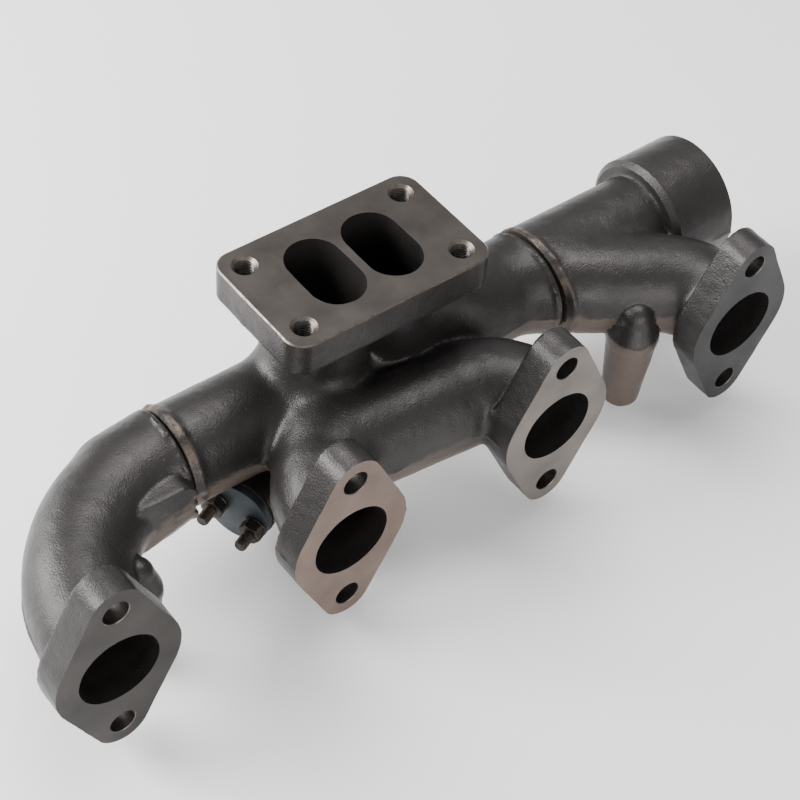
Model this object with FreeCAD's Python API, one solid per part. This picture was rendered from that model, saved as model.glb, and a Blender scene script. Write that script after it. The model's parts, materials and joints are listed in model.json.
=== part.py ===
import FreeCAD
import Part
import math
import os

# Exhaust manifold section for an in-line diesel engine, in three iron castings
# joined end to end by slip joints with split seal rings.
# Axes: +X runs along the manifold from port 1 to port 4, the port faces lie in
# the plane Y = 0 and look towards -Y, +Z points up to the turbocharger.
# All lengths are in millimetres.

# --- engine side -----------------------------------------------------------
PORT_PITCH = 115.0
PORT_X = [-1.5 * PORT_PITCH, -0.5 * PORT_PITCH, 0.5 * PORT_PITCH, 1.5 * PORT_PITCH]
GAS_R = 18.75            # gas passage radius
TUBE_R = 23.8            # outside radius of the cast tubes
REAR_TUBE_R = 24.3       # the same, rear end of the main tube
FLANGE_T = 15.0          # port flange thickness
FLANGE_MID_R = 29.5      # port flange, radius round the port
FLANGE_END_R = 12.5      # port flange, radius round each bolt hole
BOLT_Z = 37.6            # bolt holes above and below the port centre
BOLT_HOLE_R = 6.0
FACE_CHAMFER = 0.6

# --- main tube --------------------------------------------------------------
LOG_Y = 80.0             # main tube axis, distance from the port faces
LOG_Z = 2.0              # main tube axis, height above the port centres
ELBOW_BEND_R = 70.0
LEAD_IN = LOG_Y - ELBOW_BEND_R
PORT_2_LEAD_IN = 5.0     # straight part of runner 2 before its bend
PORT_2_BEND_R = 42.0
PORT_2_TURN = 38.0       # degrees, runner 2 turned towards the rear
PORT_2_OUTSIDE_END_X = -19.6
PORT_2_GAS_END_X = -21.2
PORT_3_LEAD_IN = 12.0
PORT_3_BEND_R = 26.0
PORT_3_TURN = 84.5       # degrees, runner 3 turned towards the front
PORT_3_END_X = -36.0     # where runner 3 meets runner 2
# x and y of the control points that steer the diagonal runner of port 4
PORT_4_POLES = [(172.5, 45.0), (150.0, 42.0), (112.0, 72.0)]
PORT_4_GAS_POLES = [(172.5, 43.0), (154.0, 44.0), (134.0, 64.0)]

# --- slip joints ------------------------------------------------------------
SOCKET_R = 20.6
SPIGOT_R = 20.5
JOINT_GAS_R = 16.8       # passage radius through a spigot
SPIGOT_LENGTH = 14.0
SPIGOT_CHAMFER = 0.8
NARROWING_START = 14.0   # passage narrows this far before the shoulder
NARROWING_END = 6.0
SHOULDER_R = 24.9        # raised band beside each joint
SHOULDER_WIDTH = 4.0
SOCKET_END_CLEARANCE = 2.5
REINFORCEMENT_LENGTH = 17.0  # conical swelling in front of the front band
FRONT_SHOULDER_X = -98.5
FRONT_GAP = 1.6
REAR_SHOULDER_X = 103.0
REAR_GAP = 1.8
RING_OFFSETS = [5.6, 10.2]   # ring centres, from the shoulder
RING_WIDTH = 2.0
RING_OUTER_R = 20.58
RING_INNER_R = 18.9
RING_SPLIT = 0.6
GROOVE_WIDTH = 2.2
GROOVE_R = 18.6

# --- turbocharger flange and neck -------------------------------------------
TURBO_X = -1.25
TURBO_TOP_Z = 72.0
TURBO_T = 17.5
TURBO_SIZE_X = 107.0
TURBO_SIZE_Y = 66.0
TURBO_CORNER_R = 9.5
TURBO_CHAMFER = 0.8
STUD_SPACING_X = 84.0
STUD_SPACING_Y = 43.3
TAP_R = 4.25             # M10 tapping hole
TAP_MOUTH_R = 6.0
SCROLL_OFFSET_X = 15.05
SCROLL_WIDTH = 26.0
SCROLL_LENGTH = 43.0
SCROLL_FOOT_OFFSET_X = 24.0
SCROLL_FOOT_WIDTH = 32.0
SCROLL_FOOT_LENGTH = 36.0
SCROLL_FOOT_Z = 4.0
SCROLL_LOG_OFFSET_X = 26.0   # ends of the main passages on both sides of the divider
WALL = 4.75
NECK_FOOT_OFFSET_X = 22.0
NECK_FOOT_WIDTH = 42.0
NECK_FOOT_LENGTH = 46.0
HAUNCH_R = 20.0          # sloping backs beside the neck
HAUNCH_FOOT_Z = 5.0
FRONT_HAUNCH_X = (-18.0, -34.0)   # top and foot
FRONT_HAUNCH_TOP_Z = 34.0
REAR_HAUNCH_X = (14.0, 72.0)
REAR_HAUNCH_TOP_Z = 42.0

# --- open collar at the rear end --------------------------------------------
COLLAR_R = 32.0
COLLAR_START_X = 176.0
COLLAR_END_X = 212.6
COLLAR_BORE_R = 25.4
COLLAR_DEPTH = 30.0
COLLAR_CHAMFER = 3.0
COLLAR_MOUTH = 1.5       # lead-in chamfer of the bore

# --- posts and pad ------------------------------------------------------------
POST_BASE_R = 12.7
POST_TIP_R = 9.0
POST_DOME_R = 8.5
POST_NECK_LENGTH = 9.0
POST_TIP_ROUND = 3.5
# x, y, height of the dome, height of the tip, scale
FRONT_POST = (-142.0, 35.5, 9.0, -60.0, 0.85)
REAR_POST = (133.5, 30.7, 9.0, -55.0, 1.0)
PAD_CORNER = FreeCAD.Vector(-133.0, 51.0, -13.0)
PAD_SIZE = FreeCAD.Vector(30.5, 12.0, 30.0)
PAD_EDGE_R = 6.0

# --- blanking cover below the main tube -------------------------------------
COVER_CENTRE = FreeCAD.Vector(-73.4, 62.3, -34.5)   # middle of its outer face
COVER_TURN = 24.7        # degrees, cover face turned from -X towards -Y
COVER_TILT = 15.6        # degrees, stud line tilted from the horizontal
COVER_R = 16.0
COVER_T = 4.0
GASKET_T = 1.0
BOSS_R = 16.5
BOSS_LENGTH = 19.0
SPOT_FACE_R = 16.7       # cutter that faces the boss clears the runner beside it
SPOT_FACE_REACH = 12.0
DRAIN_R = 5.0            # passage the cover closes
STUD_R = 3.0
STUD_HALF_SPACING = 10.2
STUD_PROUD = 14.0        # stud length standing out of the cover
STUD_EMBED = 9.0
STUD_HOLE_R = 3.03
CLEAR_HOLE_R = 3.3
WASHER_R = 5.6
WASHER_T = 1.2
NUT_ACROSS_FLATS = 10.0
NUT_T = 5.0

MARGIN = 1.0             # extra length that lets a cut pass right through a face

X_AXIS = FreeCAD.Vector(1, 0, 0)
Y_AXIS = FreeCAD.Vector(0, 1, 0)
Z_AXIS = FreeCAD.Vector(0, 0, 1)


def on_slope(x, y):
    """Point on the sloping plane that holds the port centres and the main tube axis."""
    return FreeCAD.Vector(x, y, LOG_Z * y / LOG_Y)


def on_log(x):
    return FreeCAD.Vector(x, LOG_Y, LOG_Z)


def rod(radius, start, end):
    """Cylinder between two points."""
    along = end - start
    return Part.makeCylinder(radius, along.Length, start, along)


def taper(start_radius, end_radius, start, end):
    """Cone frustum between two points."""
    along = end - start
    return Part.makeCone(start_radius, end_radius, along.Length, start, along)


def ball(radius, centre):
    return Part.makeSphere(radius, centre)


def tube_along(edges, radius):
    """Round bar swept along joined edges."""
    first = edges[0]
    start = first.valueAt(first.FirstParameter)
    direction = first.tangentAt(first.FirstParameter)
    profile = Part.Wire(Part.makeCircle(radius, start, direction))
    return Part.Wire(edges).makePipeShell([profile], True, False)


def line(start, end):
    return Part.makeLine(start, end)


def bezier(poles):
    curve = Part.BezierCurve()
    curve.setPoles(poles)
    return curve.toShape()


def fuse_all(shapes):
    return shapes[0].fuse(shapes[1:]).removeSplitter()


def hollow_out(outside, passages, holes):
    """Cut the joined gas passages out of a casting, then its bolt holes."""
    return outside.cut(fuse_all(passages)).cut(holes).Solids[0]


def chamfer_outline(solid, plane_value, axis_index, size):
    """Chamfer every edge of the solid that lies in the plane axis = plane_value."""
    edges = []
    for edge in solid.Edges:
        box = edge.BoundBox
        low = (box.XMin, box.YMin, box.ZMin)[axis_index]
        high = (box.XMax, box.YMax, box.ZMax)[axis_index]
        if abs(low - plane_value) < 1e-4 and abs(high - plane_value) < 1e-4:
            edges.append(edge)
    return solid.makeChamfer(size, edges)


# --- port flanges ------------------------------------------------------------

def flange_outline(x):
    """Outline of one port flange: a middle circle drawn down to two end circles."""
    slope = (FLANGE_MID_R - FLANGE_END_R) / BOLT_Z
    across = math.sqrt(1.0 - slope * slope)
    mid_x = FLANGE_MID_R * across
    mid_z = FLANGE_MID_R * slope
    end_x = FLANGE_END_R * across
    end_z = BOLT_Z + FLANGE_END_R * slope
    tip_z = BOLT_Z + FLANGE_END_R

    def at(dx, z):
        return FreeCAD.Vector(x + dx, 0, z)

    right = Part.Arc(at(mid_x, -mid_z), at(FLANGE_MID_R, 0), at(mid_x, mid_z)).toShape()
    top = Part.Arc(at(end_x, end_z), at(0, tip_z), at(-end_x, end_z)).toShape()
    left = Part.Arc(at(-mid_x, mid_z), at(-FLANGE_MID_R, 0), at(-mid_x, -mid_z)).toShape()
    bottom = Part.Arc(at(-end_x, -end_z), at(0, -tip_z), at(end_x, -end_z)).toShape()
    return Part.Wire([
        right, line(at(mid_x, mid_z), at(end_x, end_z)),
        top, line(at(-end_x, end_z), at(-mid_x, mid_z)),
        left, line(at(-mid_x, -mid_z), at(-end_x, -end_z)),
        bottom, line(at(end_x, -end_z), at(mid_x, -mid_z)),
    ])


def port_flange(x):
    plate = Part.Face(flange_outline(x)).extrude(Y_AXIS * FLANGE_T)
    return chamfer_outline(plate, 0.0, 1, FACE_CHAMFER)


def bolt_holes(x):
    holes = []
    for z in (-BOLT_Z, BOLT_Z):
        start = FreeCAD.Vector(x, -MARGIN, z)
        end = FreeCAD.Vector(x, FLANGE_T + BOLT_HOLE_R, z)
        holes.append(rod(BOLT_HOLE_R, start, end))
    return holes


# --- tube paths ----------------------------------------------------------------

def elbow_path(start_y):
    """Port 1: straight lead-in, then a quarter bend into the main tube."""
    x = PORT_X[0]
    turn = math.sqrt(0.5) * ELBOW_BEND_R
    bend_centre_x = x + ELBOW_BEND_R
    bend_start = on_slope(x, LEAD_IN)
    bend_middle = on_slope(bend_centre_x - turn, LEAD_IN + turn)
    bend_end = on_slope(bend_centre_x, LOG_Y)
    bend = Part.Arc(bend_start, bend_middle, bend_end).toShape()
    return [line(on_slope(x, start_y), bend_start), bend]


def turning_path(x, towards, lead_in, bend_r, turn_degrees, start_y, reach_x):
    """Straight lead-in, one bend towards -1 (front) or +1 (rear), then straight to reach_x."""
    turn = math.radians(turn_degrees)
    centre_x = x + towards * bend_r

    def on_bend(angle):
        return on_slope(centre_x - towards * bend_r * math.cos(angle),
                        lead_in + bend_r * math.sin(angle))

    bend_end = on_bend(turn)
    end_y = bend_end.y + abs(reach_x - bend_end.x) / math.tan(turn)
    return [
        line(on_slope(x, start_y), on_bend(0.0)),
        Part.Arc(on_bend(0.0), on_bend(turn / 2), bend_end).toShape(),
        line(bend_end, on_slope(reach_x, end_y)),
    ]


def port_2_path(start_y, end_x):
    """Port 2: bends towards the rear and meets the main tube below the neck."""
    return turning_path(PORT_X[1], 1, PORT_2_LEAD_IN, PORT_2_BEND_R, PORT_2_TURN, start_y, end_x)


def port_3_path(start_y):
    """Port 3: turns towards the front and runs along the main tube to runner 2."""
    return turning_path(PORT_X[2], -1, PORT_3_LEAD_IN, PORT_3_BEND_R, PORT_3_TURN, start_y,
                        PORT_3_END_X)


def port_4_outside_path():
    """Port 4: diagonal runner that meets the main tube at the rear joint."""
    x = PORT_X[3]
    bend_start = on_slope(x, LEAD_IN)
    bend = bezier([bend_start] + [on_slope(*pole) for pole in PORT_4_POLES])
    return [line(on_slope(x, MARGIN), bend_start), bend]


def port_4_gas_path():
    """Port 4 passage: keeps clear of the joint socket, so it turns in earlier."""
    x = PORT_X[3]
    bend_start = on_slope(x, LEAD_IN)
    bend = bezier([bend_start] + [on_slope(*pole) for pole in PORT_4_GAS_POLES])
    return [line(on_slope(x, -MARGIN), bend_start), bend]


# --- posts ---------------------------------------------------------------------

def cast_post(x, y, dome_z, tip_z, scale):
    """Tapered post that hangs from a runner, with a domed top and a rounded tip."""
    base_r = POST_BASE_R * scale
    dome_r = POST_DOME_R * scale

    def at(z):
        return FreeCAD.Vector(x, y, z)

    shoulder = at(dome_z - dome_r - POST_NECK_LENGTH)
    dome_centre = at(dome_z - dome_r)
    shaft = taper(base_r, POST_TIP_R * scale, shoulder, at(tip_z))
    tip_edges = [edge for edge in shaft.Edges if abs(edge.BoundBox.ZMax - tip_z) < 1e-4]
    shaft = shaft.makeFillet(POST_TIP_ROUND, tip_edges)
    return [shaft, taper(base_r, dome_r, shoulder, dome_centre), ball(dome_r, dome_centre)]


# --- slip joint parts ------------------------------------------------------------

def spigot(shoulder_x, towards):
    """Turned spigot and raised band; towards is -1 (front end) or +1 (rear end)."""
    tip_x = shoulder_x + towards * SPIGOT_LENGTH
    shaft = rod(SPIGOT_R, on_log(shoulder_x - towards * MARGIN), on_log(tip_x))
    shaft = chamfer_outline(shaft, tip_x, 0, SPIGOT_CHAMFER)
    for offset in RING_OFFSETS:
        shaft = shaft.cut(ring_groove(shoulder_x + towards * offset))
    band_back = shoulder_x - towards * SHOULDER_WIDTH
    band = rod(SHOULDER_R, on_log(band_back), on_log(shoulder_x))
    band = chamfer_outline(band, band_back, 0, SHOULDER_R - TUBE_R)
    return [shaft, chamfer_outline(band, shoulder_x, 0, FACE_CHAMFER)]


def washer_shape(outer_r, inner_r, centre_x, width):
    start = on_log(centre_x - width / 2)
    end = on_log(centre_x + width / 2)
    inside = rod(inner_r, start - X_AXIS * MARGIN, end + X_AXIS * MARGIN)
    return rod(outer_r, start, end).cut(inside)


def ring_groove(centre_x):
    return washer_shape(SPIGOT_R + MARGIN, GROOVE_R, centre_x, GROOVE_WIDTH)


def seal_ring(shoulder_x, towards, offset, split_above):
    """Split ring; neighbouring rings have their splits on opposite sides."""
    centre_x = shoulder_x + towards * offset
    ring = washer_shape(RING_OUTER_R, RING_INNER_R, centre_x, RING_WIDTH)
    split = Part.makeBox(RING_WIDTH + 2 * MARGIN, RING_SPLIT, RING_OUTER_R)
    base_z = LOG_Z if split_above else LOG_Z - RING_OUTER_R
    corner_x = centre_x - RING_WIDTH / 2 - MARGIN
    split.translate(FreeCAD.Vector(corner_x, LOG_Y - RING_SPLIT / 2, base_z))
    return ring.cut(split)


def spigot_passage(shoulder_x, towards):
    """Passage that narrows from the main tube bore to the spigot bore."""
    wide_x = shoulder_x - towards * NARROWING_START
    narrow_x = shoulder_x - towards * NARROWING_END
    tip_x = shoulder_x + towards * (SPIGOT_LENGTH + MARGIN)
    return [
        taper(GAS_R, JOINT_GAS_R, on_log(wide_x), on_log(narrow_x)),
        rod(JOINT_GAS_R, on_log(narrow_x), on_log(tip_x)),
    ]


def socket_bore(shoulder_x, mouth_x, towards):
    end_x = shoulder_x + towards * (SPIGOT_LENGTH + SOCKET_END_CLEARANCE)
    return rod(SOCKET_R, on_log(mouth_x - towards * MARGIN), on_log(end_x))


# --- centre casting ----------------------------------------------------------------

def stadium(centre_x, z, width, length):
    """Slot outline with round ends, long side along Y."""
    r = width / 2
    half = length / 2 - r
    centre_y = LOG_Y

    def at(dx, dy):
        return FreeCAD.Vector(centre_x + dx, centre_y + dy, z)

    far = Part.Arc(at(r, half), at(0, half + r), at(-r, half)).toShape()
    near = Part.Arc(at(-r, -half), at(0, -half - r), at(r, -half)).toShape()
    return Part.Wire([
        line(at(r, -half), at(r, half)), far,
        line(at(-r, half), at(-r, -half)), near,
    ])


def neck_duct(side):
    """Outside of one of the two ducts between main tube and turbocharger flange."""
    top_x = TURBO_X + side * SCROLL_OFFSET_X
    foot_x = TURBO_X + side * NECK_FOOT_OFFSET_X
    top = stadium(top_x, TURBO_TOP_Z - TURBO_T / 2, SCROLL_WIDTH + 2 * WALL,
                  SCROLL_LENGTH + 2 * WALL)
    foot = stadium(foot_x, LOG_Z, NECK_FOOT_WIDTH, NECK_FOOT_LENGTH)
    return Part.makeLoft([top, foot], True, True)


def neck_passage(side):
    top_x = TURBO_X + side * SCROLL_OFFSET_X
    foot_x = TURBO_X + side * SCROLL_FOOT_OFFSET_X
    mouth = stadium(top_x, TURBO_TOP_Z, SCROLL_WIDTH, SCROLL_LENGTH)
    clear = mouth.copy()
    clear.translate(Z_AXIS * MARGIN)
    land = Part.makeLoft([clear, mouth], True, True)
    foot = stadium(foot_x, SCROLL_FOOT_Z, SCROLL_FOOT_WIDTH, SCROLL_FOOT_LENGTH)
    return [land, Part.makeLoft([mouth, foot], True, True)]


def neck_haunches():
    """Sloping backs that carry the neck out along the main tube on both sides."""
    backs = []
    for (top_x, foot_x), top_z in ((FRONT_HAUNCH_X, FRONT_HAUNCH_TOP_Z),
                                   (REAR_HAUNCH_X, REAR_HAUNCH_TOP_Z)):
        foot = FreeCAD.Vector(foot_x, LOG_Y, HAUNCH_FOOT_Z)
        backs.append(rod(HAUNCH_R, FreeCAD.Vector(top_x, LOG_Y, top_z), foot))
        backs.append(ball(HAUNCH_R, foot))
    return backs


def turbo_flange():
    corner = FreeCAD.Vector(TURBO_X - TURBO_SIZE_X / 2, LOG_Y - TURBO_SIZE_Y / 2,
                            TURBO_TOP_Z - TURBO_T)
    plate = Part.makeBox(TURBO_SIZE_X, TURBO_SIZE_Y, TURBO_T, corner)
    uprights = [edge for edge in plate.Edges if abs(edge.tangentAt(0).z) > 0.99]
    plate = plate.makeFillet(TURBO_CORNER_R, uprights)
    return chamfer_outline(plate, TURBO_TOP_Z, 2, TURBO_CHAMFER)


def turbo_stud_holes():
    holes = []
    mouth_depth = TAP_MOUTH_R - TAP_R
    for side_x in (-1, 1):
        for side_y in (-1, 1):
            x = TURBO_X + side_x * STUD_SPACING_X / 2
            y = LOG_Y + side_y * STUD_SPACING_Y / 2
            top = FreeCAD.Vector(x, y, TURBO_TOP_Z)
            holes.append(rod(TAP_R, top - Z_AXIS * (TURBO_T + MARGIN), top + Z_AXIS * MARGIN))
            holes.append(taper(TAP_R, TAP_MOUTH_R, top - Z_AXIS * mouth_depth, top))
    return holes


def cover_direction():
    turn = math.radians(COVER_TURN)
    return FreeCAD.Vector(-math.cos(turn), -math.sin(turn), 0)


def cover_point(depth, along=0.0):
    """Point behind the cover's outer face (depth) and along its stud line."""
    out = cover_direction()
    level = FreeCAD.Vector(-out.y, out.x, 0)
    tilt = math.radians(COVER_TILT)
    stud_line = level * math.cos(tilt) - Z_AXIS * math.sin(tilt)
    return COVER_CENTRE - out * depth + stud_line * along


def cover_boss():
    face_depth = COVER_T + GASKET_T
    end = cover_point(face_depth + BOSS_LENGTH)
    return [rod(BOSS_R, cover_point(face_depth), end), ball(BOSS_R, end)]


def cover_passage():
    face_depth = COVER_T + GASKET_T
    turn_point = cover_point(face_depth + BOSS_LENGTH)
    above = FreeCAD.Vector(turn_point.x, turn_point.y, LOG_Z)
    return [
        rod(DRAIN_R, cover_point(face_depth - MARGIN), turn_point),
        ball(DRAIN_R, turn_point),
        rod(DRAIN_R, turn_point, above),
    ]


def cover_spot_face():
    return rod(SPOT_FACE_R, cover_point(COVER_T + GASKET_T), cover_point(-SPOT_FACE_REACH))


def cover_stud_holes(radius, depth_from, depth_to):
    holes = []
    for along in (-STUD_HALF_SPACING, STUD_HALF_SPACING):
        holes.append(rod(radius, cover_point(depth_from, along), cover_point(depth_to, along)))
    return holes


def runner_4_end():
    """Rounded end of the port 4 runner, shared by both sides of the rear joint."""
    return ball(TUBE_R, on_slope(*PORT_4_POLES[-1]))


def slab(x_from, x_to):
    """Box across the whole main tube and its runners between two X planes."""
    reach = COLLAR_END_X
    corner = FreeCAD.Vector(x_from, -reach, -reach)
    return Part.makeBox(x_to - x_from, 2 * reach, 2 * reach, corner)


def centre_outside():
    pieces = [rod(TUBE_R, on_log(FRONT_SHOULDER_X), on_log(REAR_SHOULDER_X))]
    pieces.append(tube_along(port_2_path(MARGIN, PORT_2_OUTSIDE_END_X), TUBE_R))
    pieces.append(tube_along(port_3_path(MARGIN), TUBE_R))
    pieces.append(runner_4_end().common(slab(PORT_X[2], REAR_SHOULDER_X)))
    pieces += neck_haunches()
    pieces += [neck_duct(-1), neck_duct(1), turbo_flange()]
    pieces += [port_flange(PORT_X[1]), port_flange(PORT_X[2])]
    pieces += cover_boss()
    pieces += spigot(FRONT_SHOULDER_X, -1)
    pieces += spigot(REAR_SHOULDER_X, 1)
    return fuse_all(pieces)


def centre_passages():
    """Front scroll takes ports 1 to 3, rear scroll takes port 4 and the collar."""
    front_start = on_log(FRONT_SHOULDER_X + NARROWING_START)
    front_end = on_log(TURBO_X - SCROLL_LOG_OFFSET_X)
    rear_end = on_log(TURBO_X + SCROLL_LOG_OFFSET_X)
    rear_start = on_log(REAR_SHOULDER_X - NARROWING_START)
    cuts = [
        rod(GAS_R, front_start, front_end), ball(GAS_R, front_end),
        rod(GAS_R, rear_end, rear_start), ball(GAS_R, rear_end),
        tube_along(port_2_path(-MARGIN, PORT_2_GAS_END_X), GAS_R),
        tube_along(port_3_path(-MARGIN), GAS_R),
    ]
    cuts += neck_passage(-1) + neck_passage(1)
    cuts += spigot_passage(FRONT_SHOULDER_X, -1) + spigot_passage(REAR_SHOULDER_X, 1)
    cuts += cover_passage()
    return cuts


def centre_casting():
    face_depth = COVER_T + GASKET_T
    holes = bolt_holes(PORT_X[1]) + bolt_holes(PORT_X[2]) + turbo_stud_holes()
    holes.append(cover_spot_face())
    holes += cover_stud_holes(STUD_HOLE_R, face_depth - MARGIN, face_depth + STUD_EMBED + MARGIN)
    return hollow_out(centre_outside(), centre_passages(), holes)


# --- front casting --------------------------------------------------------------

def flat_pad():
    """Flat-faced pad on the engine side of the elbow, beside the front joint."""
    pad = Part.makeBox(PAD_SIZE.x, PAD_SIZE.y, PAD_SIZE.z, PAD_CORNER)
    rounded = []
    for edge in pad.Edges:
        box = edge.BoundBox
        on_front = box.YMax < PAD_CORNER.y + 0.1
        on_side = box.XMax < PAD_CORNER.x + 0.1 or box.ZMax < PAD_CORNER.z + 0.1
        if on_front and on_side:
            rounded.append(edge)
    return pad.makeFillet(PAD_EDGE_R, rounded)


def front_casting():
    mouth_x = FRONT_SHOULDER_X - FRONT_GAP
    band_back = mouth_x - SHOULDER_WIDTH
    pieces = [port_flange(PORT_X[0]), tube_along(elbow_path(MARGIN), TUBE_R)]
    pieces.append(rod(TUBE_R, on_log(PORT_X[0] + ELBOW_BEND_R - MARGIN), on_log(mouth_x)))
    swelling_start = on_log(band_back - REINFORCEMENT_LENGTH)
    pieces.append(taper(TUBE_R - 0.5, SHOULDER_R, swelling_start, on_log(band_back)))
    band = rod(SHOULDER_R, on_log(band_back), on_log(mouth_x))
    pieces.append(chamfer_outline(band, mouth_x, 0, FACE_CHAMFER))
    pieces.append(flat_pad())
    pieces += cast_post(*FRONT_POST)
    passages = [tube_along(elbow_path(-MARGIN), GAS_R)]
    passages.append(rod(GAS_R, on_log(PORT_X[0] + ELBOW_BEND_R - MARGIN), on_log(mouth_x)))
    passages.append(socket_bore(FRONT_SHOULDER_X, mouth_x, -1))
    return hollow_out(fuse_all(pieces), passages, bolt_holes(PORT_X[0]))


# --- rear casting -----------------------------------------------------------------

def collar():
    start = on_log(COLLAR_START_X)
    body = rod(COLLAR_R, start, on_log(COLLAR_END_X))
    body = chamfer_outline(body, COLLAR_START_X, 0, COLLAR_CHAMFER)
    return chamfer_outline(body, COLLAR_END_X, 0, FACE_CHAMFER)


def collar_bore():
    floor_x = COLLAR_END_X - COLLAR_DEPTH
    mouth = taper(COLLAR_BORE_R, COLLAR_BORE_R + COLLAR_MOUTH,
                  on_log(COLLAR_END_X - COLLAR_MOUTH), on_log(COLLAR_END_X))
    return [rod(COLLAR_BORE_R, on_log(floor_x), on_log(COLLAR_END_X + MARGIN)), mouth]


def rear_casting():
    mouth_x = REAR_SHOULDER_X + REAR_GAP
    runner = [tube_along(port_4_outside_path(), TUBE_R), runner_4_end()]
    behind_joint = slab(mouth_x, COLLAR_END_X)
    pieces = [rod(REAR_TUBE_R, on_log(mouth_x), on_log(COLLAR_START_X + MARGIN)), collar()]
    pieces += [shape.common(behind_joint) for shape in runner]
    band = rod(SHOULDER_R, on_log(mouth_x), on_log(mouth_x + SHOULDER_WIDTH))
    band = chamfer_outline(band, mouth_x + SHOULDER_WIDTH, 0, SHOULDER_R - REAR_TUBE_R)
    pieces.append(chamfer_outline(band, mouth_x, 0, FACE_CHAMFER))
    pieces.append(port_flange(PORT_X[3]))
    pieces += cast_post(*REAR_POST)
    passages = [socket_bore(REAR_SHOULDER_X, mouth_x, 1)]
    gas_end = on_slope(*PORT_4_GAS_POLES[-1])
    passages += [tube_along(port_4_gas_path(), GAS_R), ball(GAS_R, gas_end)]
    bore_start = on_log(REAR_SHOULDER_X + SPIGOT_LENGTH)
    passages.append(rod(GAS_R, bore_start, on_log(COLLAR_END_X)))
    passages += collar_bore()
    return hollow_out(fuse_all(pieces), passages, bolt_holes(PORT_X[3]))


# --- blanking cover set -------------------------------------------------------------

def round_plate(radius, depth_front, depth_back):
    """Disc of the cover set with its two stud holes."""
    disc = rod(radius, cover_point(depth_front), cover_point(depth_back))
    return disc.cut(cover_stud_holes(CLEAR_HOLE_R, depth_front - MARGIN, depth_back + MARGIN))


def blanking_cover():
    return round_plate(COVER_R, 0.0, COVER_T)


def cover_gasket():
    gasket = round_plate(COVER_R - 0.4, COVER_T, COVER_T + GASKET_T)
    hole = rod(DRAIN_R + 0.5, cover_point(COVER_T - MARGIN), cover_point(COVER_T + 2 * GASKET_T))
    return gasket.cut(hole)


def cover_studs():
    deep = COVER_T + GASKET_T + STUD_EMBED
    studs = []
    for along in (-STUD_HALF_SPACING, STUD_HALF_SPACING):
        studs.append(rod(STUD_R, cover_point(-STUD_PROUD, along), cover_point(deep, along)))
    return Part.makeCompound(studs)


def cover_washers():
    washers = []
    for along in (-STUD_HALF_SPACING, STUD_HALF_SPACING):
        body = rod(WASHER_R, cover_point(-WASHER_T, along), cover_point(0, along))
        hole = rod(CLEAR_HOLE_R, cover_point(-WASHER_T - MARGIN, along), cover_point(MARGIN, along))
        washers.append(body.cut(hole))
    return Part.makeCompound(washers)


def cover_nuts():
    corner_r = NUT_ACROSS_FLATS / math.sqrt(3.0)
    out = cover_direction()
    nuts = []
    for along in (-STUD_HALF_SPACING, STUD_HALF_SPACING):
        seat = cover_point(-WASHER_T, along)
        top = cover_point(-WASHER_T - NUT_T, along)
        prism = Part.makePolygon([
            FreeCAD.Vector(corner_r * math.cos(math.radians(60 * i)),
                           corner_r * math.sin(math.radians(60 * i)), 0)
            for i in range(7)
        ])
        body = Part.Face(prism).extrude(Z_AXIS * NUT_T)
        body.Placement = FreeCAD.Placement(seat, FreeCAD.Rotation(Z_AXIS, out))
        round_off = taper(corner_r + NUT_T - 0.8, corner_r - 0.8, seat, top)
        hole = rod(STUD_HOLE_R, cover_point(MARGIN, along), top + out * MARGIN)
        nuts.append(body.common(round_off).cut(hole))
    return Part.makeCompound(nuts)


def build_parts():
    parts = {
        "centre_casting": centre_casting(),
        "front_casting": front_casting(),
        "rear_casting": rear_casting(),
        "blanking_cover": blanking_cover(),
        "cover_gasket": cover_gasket(),
        "cover_studs": cover_studs(),
        "cover_washers": cover_washers(),
        "cover_nuts": cover_nuts(),
    }
    ends = {"front": (FRONT_SHOULDER_X, -1), "rear": (REAR_SHOULDER_X, 1)}
    for name, (shoulder_x, towards) in ends.items():
        for letter, offset in zip("ab", RING_OFFSETS):
            ring = seal_ring(shoulder_x, towards, offset, letter == "a")
            parts["seal_ring_" + name + "_" + letter] = ring
    return parts


os.makedirs("parts", exist_ok=True)
for node, shape in build_parts().items():
    shape.exportStep("parts/" + node + ".step")
    print(node, "solids", len(shape.Solids), "valid", shape.isValid(), "volume", round(shape.Volume))
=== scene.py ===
"""Looks of the exhaust manifold section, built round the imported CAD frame.

Each casting is made the way the foundry and the machine shop make it: a raw skin of
blended tubes, plates and bosses, then cutting tools that take the machined faces,
bores, threads and spigots out of it. Sizes below are in millimetres; meshes are in
metres, in the frame of the CAD model.
"""

import json
import math

import bpy
import numpy as np
from mathutils import Matrix, Vector


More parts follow.
